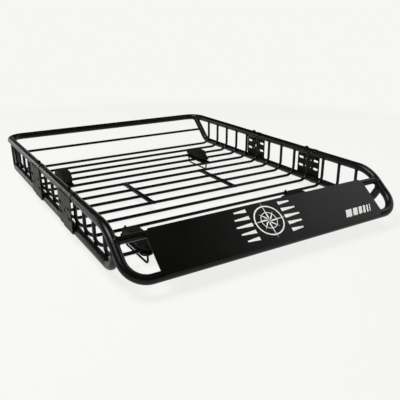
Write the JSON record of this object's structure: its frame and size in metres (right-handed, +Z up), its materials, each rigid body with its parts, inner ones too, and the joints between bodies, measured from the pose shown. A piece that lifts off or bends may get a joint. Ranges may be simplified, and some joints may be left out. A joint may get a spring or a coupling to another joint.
{
  "type": "roof basket",
  "caption": "Welded tube and rod cargo basket for a vehicle's roof bars, with a sloped front wind fairing, slotted joint plates and U-bolt clamps.",
  "frame": {"origin": "middle of the basket at ground level, where it stands on its U-bolts", "axes": "+X to the vehicle's right, +Y to the rear of the basket (the fairing is at -Y), +Z up"},
  "size_m": [0.9532, 1.274, 0.1625],
  "materials": {
    "rail_coat": "satin",
    "slat_coat": "satin",
    "plate_coat": "satin",
    "fairing_coat": "gloss",
    "clamp_coat": "satin",
    "clamp_steel": "satin"
  },
  "bodies": {
    "root": {"rear_top_rail": "rail_coat", "left_middle_top_rail": "rail_coat", "right_middle_top_rail": "rail_coat", "front_top_rail": "rail_coat", "left_rear_lower_rail": "rail_coat", "right_rear_lower_rail": "rail_coat", "left_middle_lower_rail": "rail_coat", "right_middle_lower_rail": "rail_coat", "left_front_lower_rail": "rail_coat", "right_front_lower_rail": "rail_coat", "slat_01": "slat_coat", "slat_02": "slat_coat", "slat_03": "slat_coat", "slat_04": "slat_coat", "slat_05": "slat_coat", "slat_06": "slat_coat", "slat_07": "slat_coat", "slat_08": "slat_coat", "slat_09": "slat_coat", "slat_10": "slat_coat", "slat_11": "slat_coat", "slat_12": "slat_coat", "slat_13": "slat_coat", "back_middle_rod": "slat_coat", "fairing_support_tube": "rail_coat", "fairing_panel": "fairing_coat", "left_rear_joint_plate": "plate_coat", "right_rear_joint_plate": "plate_coat", "left_front_joint_plate": "plate_coat", "right_front_joint_plate": "plate_coat", "left_floor_stiffener": "slat_coat", "right_floor_stiffener": "slat_coat", "rear_left_clamp_bracket": "clamp_coat", "rear_right_clamp_bracket": "clamp_coat", "front_left_clamp_bracket": "clamp_coat", "front_right_clamp_bracket": "clamp_coat", "rear_left_clamp_plate": "clamp_coat", "rear_right_clamp_plate": "clamp_coat", "front_left_clamp_plate": "clamp_coat", "front_right_clamp_plate": "clamp_coat", "rear_left_u_bolt": "clamp_steel", "rear_right_u_bolt": "clamp_steel", "front_left_u_bolt": "clamp_steel", "front_right_u_bolt": "clamp_steel", "rear_left_clamp_nuts": "clamp_steel", "rear_right_clamp_nuts": "clamp_steel", "front_left_clamp_nuts": "clamp_steel", "front_right_clamp_nuts": "clamp_steel"}
  },
  "joints": []
}
